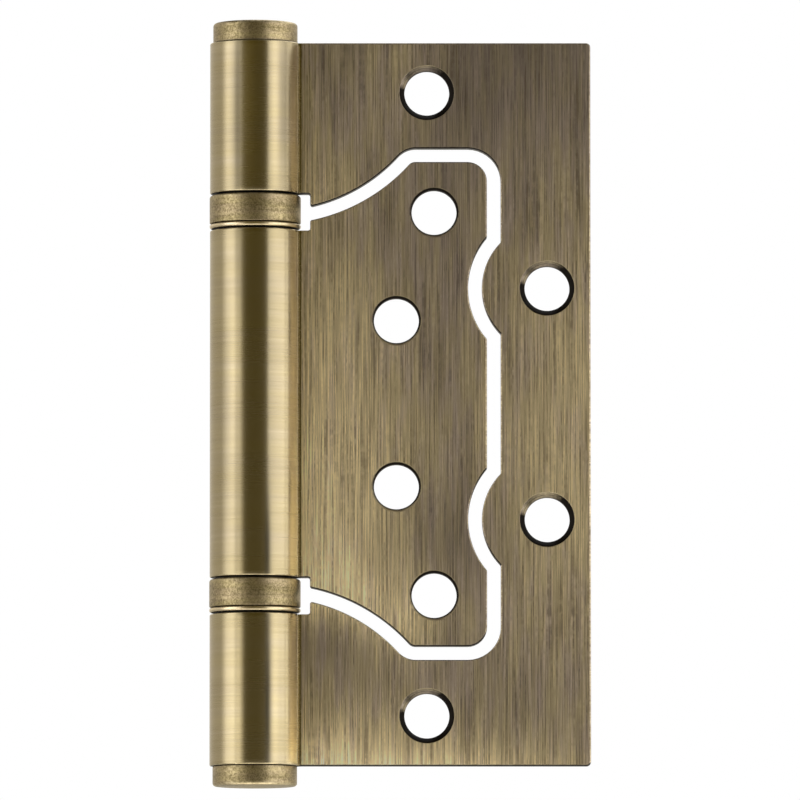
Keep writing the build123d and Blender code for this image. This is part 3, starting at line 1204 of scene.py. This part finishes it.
# A brighter copy of the turned brass for the bearing lips: a painted highlight.
LIP_HIGHLIGHT_FINISH = PlatedFinish(
    name="worn_lip_brass", light=(0.68, 0.58, 0.37, 1), dark=(0.33, 0.267, 0.148, 1),
    cool=(1.0, 0.96, 1.2, 1), line_width=0.14, line_length=3.0, rough=(0.26, 0.34),
    spread=0.3, patch=2.0, middle=0.6, lines=0.35, hue=0.4, grain=0.8)
KEPT_FINISHES = {
    "hinge_pin": BareFinish("drawn_steel", (0.44, 0.44, 0.45, 1), (0.32, 0.32, 0.33, 1),
                            (0.25, 0.4), 0.4),
    "cage": BareFinish("stamped_brass", (0.60, 0.46, 0.23, 1), (0.47, 0.34, 0.15, 1),
                       (0.3, 0.42)),
    "ball": BareFinish("bearing_steel", (0.56, 0.56, 0.57, 1), (0.40, 0.40, 0.415, 1),
                       (0.12, 0.22)),
    # The upper races are near black.
    "top_race": BareFinish("blacked_steel", (0.033, 0.028, 0.021, 1),
                           (0.013, 0.011, 0.008, 1), (0.4, 0.55)),
}


# The hinge


@dataclass
class Cap:
    """A cap: a round button on an outer knuckle's end, with a stem in its bore."""

    name: str
    up: int
    knuckle_end: float
    bore: float
    play: float = 0.02 * MM
    stem_edge: float = 0.4 * MM
    seat_edge: float = 0.2 * MM
    crown_edge: float = 0.45 * MM

    def build(self, finish: Material) -> Piece:
        """Build the cap: its stem, its seat on the knuckle and its crown.

        Args:
            finish: The cap's material.

        Returns:
            The cap's object.
        """
        low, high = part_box(self.name)
        radius = high.x
        head = max(abs(high.z), abs(low.z)) - self.knuckle_end
        stem = self.knuckle_end - min(abs(high.z), abs(low.z))
        stem_r = self.bore - self.play
        points, wear_and_painted_light = section([
            Bend(0, -stem), Bend(stem_r, -stem, self.stem_edge), Bend(stem_r, 0),
            # Seat edge: painted shade by the knuckle, then a painted highlight with rubbing
            # on the rounding; the crown's rounding is bright from rubbing with a painted
            # highlight.
            Bend(radius, 0, self.seat_edge, -0.6, 0, 1.2),
            Bend(radius, head, self.crown_edge, 0, 0, 0.8), Bend(0, head, before=0)])
        cap = Turned(f"{self.name}_button", self.name, points, wear_and_painted_light,
                     self.up * self.knuckle_end, self.up)
        return cap.build(finish, "fixed_leaf", "plated_turned")


@dataclass
class Bearing:
    """The parts of one ball bearing that show: its drawn shell and its lower race."""

    place: str
    upper_body: str
    lower_body: str
    bore: float
    sheet: float = 0.4 * MM
    flange: float = 1.3 * MM
    seat: float = 0.25 * MM
    lip: float = 0.65 * MM
    lip_edge: float = 0.3 * MM
    foot: float = 0.7 * MM
    gap: float = 0.15 * MM
    groove_half: float = 0.466 * MM
    groove_deep: float = 0.15 * MM
    shoulder: float = 0.38 * MM
    hem: float = 0.12 * MM
    fold: float = 0.1 * MM
    burr: float = 0.05 * MM

    def shell(self, finish: Material) -> Piece:
        """Build the shell: a skirt with a flange turned in over the upper race.

        Args:
            finish: The shell's material.

        Returns:
            The shell's object.
        """
        node = f"{self.place}_bearing_shell"
        low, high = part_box(node)
        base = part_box(f"{self.place}_bearing_bottom_race")[0].z
        skirt, top, radius = low.z - base, high.z - base, high.x
        inside, hole, under = radius - self.sheet, radius - self.flange, top - self.sheet
        middle = top - self.sheet / 2
        points, wear_and_painted_light = section([
            Bend(hole, middle), Bend(hole, top, self.fold),
            # Shoulder: painted shade under the knuckle, then a painted highlight with
            # rubbing on its rounding; the hem darkens towards the inside.
            Bend(radius, top, self.shoulder, -0.8, 0, 0.9),
            Bend(radius, skirt, self.hem, 0, -0.3, 0.2),
            Bend(inside, skirt, self.fold, -0.3), Bend(inside, under, self.fold),
            Bend(hole, under, self.burr), Bend(hole, middle)])
        shell = Turned(f"{self.place}_bearing_cover", node, points, wear_and_painted_light, base)
        return shell.build(finish, self.upper_body, "plated_turned")

    def race(self, finish: Material) -> Piece:
        """Build the lower race: its foot, the lip under the shell and the balls' groove.

        The groove is half an ellipse below the track, about the middle of its width.

        Args:
            finish: The race's material.

        Returns:
            The race's object.
        """
        node = f"{self.place}_bearing_bottom_race"
        low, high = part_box(node)
        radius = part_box(f"{self.place}_bearing_shell")[1].x
        lip = self.seat + self.lip
        hub = radius - self.sheet - self.gap
        track = high.z - low.z
        ring = (self.bore + hub) / 2
        foot = radius - self.foot
        outer, rub_and_painted_highlight = section([
            Bend(self.bore, track), Bend(self.bore, 0, self.burr),
            Bend(foot, 0), Bend(foot, self.seat),
            # Lip: black in the groove under the shell, painted shade; its roundings carry
            # painted highlights with rubbing.
            Bend(radius, self.seat, self.lip_edge, -1, 0.8, 0.5),
            Bend(radius, lip, self.lip_edge, 0.8, 0.2, 0.5),
            Bend(hub, lip), Bend(hub, track, self.burr),
            Bend(ring + self.groove_half, track)])
        turn = np.linspace(0, math.pi, 13)[1:]
        size = np.array([self.groove_half, -self.groove_deep])
        trough = np.array([ring, track]) + size * circle(turn)
        points = np.concatenate([outer, trough, outer[:1]])
        wear_and_painted_light = np.concatenate([rub_and_painted_highlight, np.full(13, -1.0)])
        race = Turned(f"{self.place}_bearing_lip", node, points, wear_and_painted_light, low.z)
        return race.build(finish, self.lower_body, "plated_turned")


@dataclass
class Hinge:
    """The hinge's sizes, read from the frame, and its pieces."""

    effects: Effects
    root_bend: float = 0.35 * MM
    neck_gap: float = 1.35 * MM
    neck_tooth: float = 1.4 * MM
    leaf_corner: float = 0.6 * MM

    def __post_init__(self) -> None:
        """Read the sizes from the frame and build the finishes."""
        low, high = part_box("outer_leaf")
        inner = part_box("inner_leaf")[1]
        self.knuckle_radius, self.reach, self.half = -low.x, high.x, high.z
        self.inner_reach, self.inner_half = inner.x, inner.z
        self.middle_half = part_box("upper_bearing_bottom_race")[0].z
        self.outer_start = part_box("upper_bearing_top_race")[1].z
        self.half_sheet = mounts["outer_seat"]["pos_m"][1]
        self.bore = self.knuckle_radius - 2 * self.half_sheet
        self.bend = self.root_bend + self.half_sheet
        middle = self.knuckle_radius - self.half_sheet
        self.root_x = math.sqrt((middle + self.bend) ** 2 - self.bend ** 2)
        self.sheet = [LEAF_FINISH.make(self.effects), BARREL_FINISH.make(self.effects)]
        self.turned = TURNED_FINISH.make(self.effects)
        self.rolled = LIP_HIGHLIGHT_FINISH.make(self.effects)

    def knuckle(self, low: float, high: float, phase: float) -> Knuckle:
        """Return the knuckle between two heights."""
        return Knuckle(low, high, self.knuckle_radius, self.half_sheet, self.root_x,
                       self.bend, phase)

    def holes(self, names: tuple[str, ...], heads: Side) -> list[ScrewHole]:
        """Return the screw holes of some of the record's mounts.

        Args:
            names: The mounts' names.
            heads: The face with the countersinks.

        Returns:
            Two holes for each mount, above and below the middle.
        """
        found = []
        for mount in (mounts[name] for name in names):
            z = mount["dims"]["spacing_y_mm"] / 2 * MM
            radius = mount["dims"]["hole_r_mm"] * MM
            found += [ScrewHole(mount["pos_m"][0], place, heads, radius, self.half_sheet)
                      for place in (z, -z)]
        return found

    def outline(self) -> NestOutline:
        """Return the outline that the inner leaf and the window share."""
        lobe = mounts["outer_side_screws"]
        return NestOutline(
            root_x=self.root_x, reach=self.inner_reach, half=self.inner_half,
            neck_x=self.knuckle_radius + self.neck_gap,
            tooth_z=self.middle_half + self.neck_tooth,
            lobe=(lobe["pos_m"][0], lobe["dims"]["spacing_y_mm"] / 2 * MM))

    def outer_leaf(self) -> Piece:
        """Build the outer leaf with its window and its two knuckles."""
        edge = rounded_path([
            Corner(self.root_x, self.half),
            Corner(self.reach, self.half, self.leaf_corner),
            Corner(self.reach, -self.half, self.leaf_corner),
            Corner(self.root_x, -self.half)])
        nest = self.outline()
        window, normal = nest.path(nest.gap, self.outer_start)
        leaf = Leaf("outer_leaf_sheet", "outer_leaf", [edge, (window[::-1], -normal[::-1])],
                    self.holes(("outer_end_screws", "outer_side_screws"), Side.FRONT),
                    [self.knuckle(self.outer_start, self.half, 3.0),
                     self.knuckle(-self.half, -self.outer_start, 40.0)], self.half_sheet)
        return leaf.build(self.sheet, "fixed_leaf")

    def inner_leaf(self) -> Piece:
        """Build the inner leaf with the middle knuckle."""
        leaf = Leaf("inner_leaf_sheet", "inner_leaf",
                    [self.outline().path(0.0, self.middle_half)],
                    self.holes(("inner_end_screws", "inner_mid_screws"), Side.BACK),
                    [self.knuckle(-self.middle_half, self.middle_half, 11.0)],
                    self.half_sheet)
        return leaf.build(self.sheet, "swinging_leaf")

    def caps(self) -> list[Piece]:
        """Build the two caps with their stems."""
        return [Cap(name, up, self.half, self.bore).build(self.turned)
                for name, up in (("top_cap", 1), ("bottom_cap", -1))]

    def bearing(self, place: str, upper_body: str, lower_body: str) -> list[Piece]:
        """Build the shell and the lower race of the upper or the lower bearing.

        Args:
            place: Either upper or lower.
            upper_body: The body that the shell rides on.
            lower_body: The body that the lower race rides on.

        Returns:
            The two pieces.
        """
        bearing = Bearing(place, upper_body, lower_body, self.bore)
        return [bearing.shell(self.turned), bearing.race(self.rolled)]

    def hidden(self) -> int:
        """Dress the pin, the upper races, the cages and the balls, and count them."""
        dressed = 0
        for word, kept in KEPT_FINISHES.items():
            finish = kept.make(self.effects)
            for name, solid in frame["nodes"].items():
                if word in name and not solid.hide_render:
                    solid.data.materials.clear()
                    solid.data.materials.append(finish)
                    dressed += 1
        return dressed


# The studio


def stand(name: str, data: bpy.types.ID, target: tuple[float, float, float],
          azimuth: float, elevation: float, distance: float) -> Piece:
    """Stand a light or a camera round a point, facing it.

    Args:
        name: The object's name.
        data: The light or the camera.
        target: The point that it faces.
        azimuth: The angle round the point from the front, in degrees.
        elevation: The angle above the point, in degrees.
        distance: How far away it stands.

    Returns:
        The object, linked to the scene.
    """
    a, e = math.radians(azimuth), math.radians(elevation)
    away = Vector((math.sin(a) * math.cos(e), -math.cos(a) * math.cos(e), math.sin(e)))
    thing = bpy.data.objects.new(name, data)
    thing.location = Vector(target) + away * distance
    thing.rotation_euler = (-away).to_track_quat("-Z", "Y").to_euler()
    bpy.context.scene.collection.objects.link(thing)
    return thing


@dataclass
class Softbox:
    """A soft rectangular light that stands round the hinge, facing it."""

    name: str
    azimuth: float
    elevation: float
    distance: float
    width: float
    height: float
    glow: float
    tint: tuple[float, float, float] = (1.0, 1.0, 1.0)

    def place(self, target: tuple[float, float, float], level: float) -> None:
        """Put the light in the scene, with a power of level x glow x area x pi.

        Args:
            target: The point that it faces.
            level: The studio's light level.
        """
        light = bpy.data.lights.new(self.name, "AREA")
        light.shape = "RECTANGLE"
        light.size, light.size_y = self.width, self.height
        light.energy = level * self.glow * self.width * self.height * math.pi
        light.color = self.tint
        stand(self.name, light, target, self.azimuth, self.elevation,
              self.distance).visible_camera = False


WARM = (1.0, 0.96, 0.84)
SOFTBOXES = (
    Softbox("below", 0, -85, 0.4, 0.5, 0.3, 1.3, WARM),
    Softbox("right_box", 57, 0, 0.6, 0.56, 1.0, 1.15),
    Softbox("right_rear", 98, 0, 0.6, 0.26, 1.0, 0.8),
    Softbox("left_box", -67, 0, 0.6, 0.30, 1.0, 0.75),
    Softbox("left_wide", -63, 0, 0.62, 0.62, 1.0, 0.55),
    Softbox("low_left", -40, -10, 0.35, 0.10, 0.14, 0.8, (1.0, 0.95, 0.82)),
    Softbox("top_soft", 150, 55, 0.8, 0.8, 0.8, 1.0),
)


@dataclass
class Studio:
    """The camera, the lights, the floor and the room's own light."""

    centre: tuple[float, float, float] = (20.0 * MM, -1.25 * MM, 0.5 * MM)
    frame_width: float = 110.35 * MM
    elevation: float = -4.6
    lens: float = 600.0
    sensor: float = 36.0
    clip: tuple[float, float] = (0.05, 20.0)
    floor_z: float = -0.45
    floor_half: float = 3.0
    level: float = 1.35
    front: Colour = (0.088, 0.066, 0.0, 1)
    walls: Colour = (0.66, 0.62, 0.54, 1)
    ceiling: Colour = (0.07, 0.066, 0.058, 1)
    floor_tones: tuple[Colour, Colour] = ((0.80, 0.80, 0.79, 1), (0.84, 0.84, 0.83, 1))
    floor_tint: Colour = (1.0, 0.97, 0.88, 1)
    floor_glow: float = 0.24

    def camera(self) -> None:
        """Stand the camera in front of the hinge, a little below its middle."""
        data = bpy.data.cameras.new("camera")
        data.lens, data.sensor_width = self.lens, self.sensor
        data.clip_start, data.clip_end = self.clip
        distance = self.frame_width * self.lens / self.sensor
        bpy.context.scene.camera = stand("camera", data, self.centre, 0, self.elevation,
                                         distance)

    def room(self) -> None:
        """Light the room: white to the camera, and to the metal grey, darkest in front."""
        world = bpy.data.worlds.new("room")
        bpy.context.scene.world = world
        world.use_nodes = True
        world.node_tree.nodes.clear()
        w = Wiring(world.node_tree)
        way = w.add("SeparateXYZ", w.add("TexCoord").outputs["Generated"]).outputs
        ahead = w.carry(w.math("MULTIPLY", way["Y"], -1.0), 0.50, 0.84)
        above = w.carry(way["Z"], 0.30, 0.75)
        colour = w.blend(ahead, w.blend(above, self.walls, self.ceiling), self.front)
        lit = w.add("Background", Color=colour, Strength=self.level)
        seen = w.add("Background", Color=(1, 1, 1, 1), Strength=1.0)
        mix = w.add("MixShader", w.add("LightPath").outputs["Is Camera Ray"],
                    lit.outputs[0], seen.outputs[0])
        w.add("OutputWorld", Surface=mix.outputs[0])

    def floor(self) -> None:
        """Lay a plain pale floor well below the hinge; a faint glow keeps it pale."""
        ends = np.array([[-self.floor_half, self.floor_half]])
        flat = Patch.grid(ends, ends.T, self.floor_z, ends, ends.T, 0)
        ground = build_mesh("floor", [flat])
        material, w, shader = new_material("pale_floor")
        tone = w.noise(w.add("TexCoord").outputs["Object"], 3.0, 2.0, 0.5)
        w.feed(shader["Base Color"], w.blend(tone, *self.floor_tones))
        w.feed(shader["Roughness"], 0.8)
        w.feed(shader["Emission Color"], self.floor_tint)
        w.feed(shader["Emission Strength"], self.floor_glow)
        ground.data.materials.append(material)

    def build(self) -> None:
        """Set up the whole studio."""
        self.camera()
        self.room()
        for box in SOFTBOXES:
            box.place(self.centre, self.level)
        self.floor()
        bpy.context.scene.view_settings.view_transform = "Standard"


def main() -> None:
    """Build the studio and the hinge, and report each piece."""
    logging.basicConfig(level=logging.INFO, format="%(name)s: %(message)s")
    Studio().build()
    hinge = Hinge(Effects())
    pieces = [hinge.outer_leaf(), hinge.inner_leaf(), *hinge.caps()]
    pieces += hinge.bearing("upper", "fixed_leaf", "swinging_leaf")
    pieces += hinge.bearing("lower", "swinging_leaf", "fixed_leaf")
    for piece in pieces:
        LOG.info("%s: %d faces", piece.name, len(piece.data.polygons))
    LOG.info("%d solids kept and dressed", hinge.hidden())


if __name__ == "__main__":
    main()
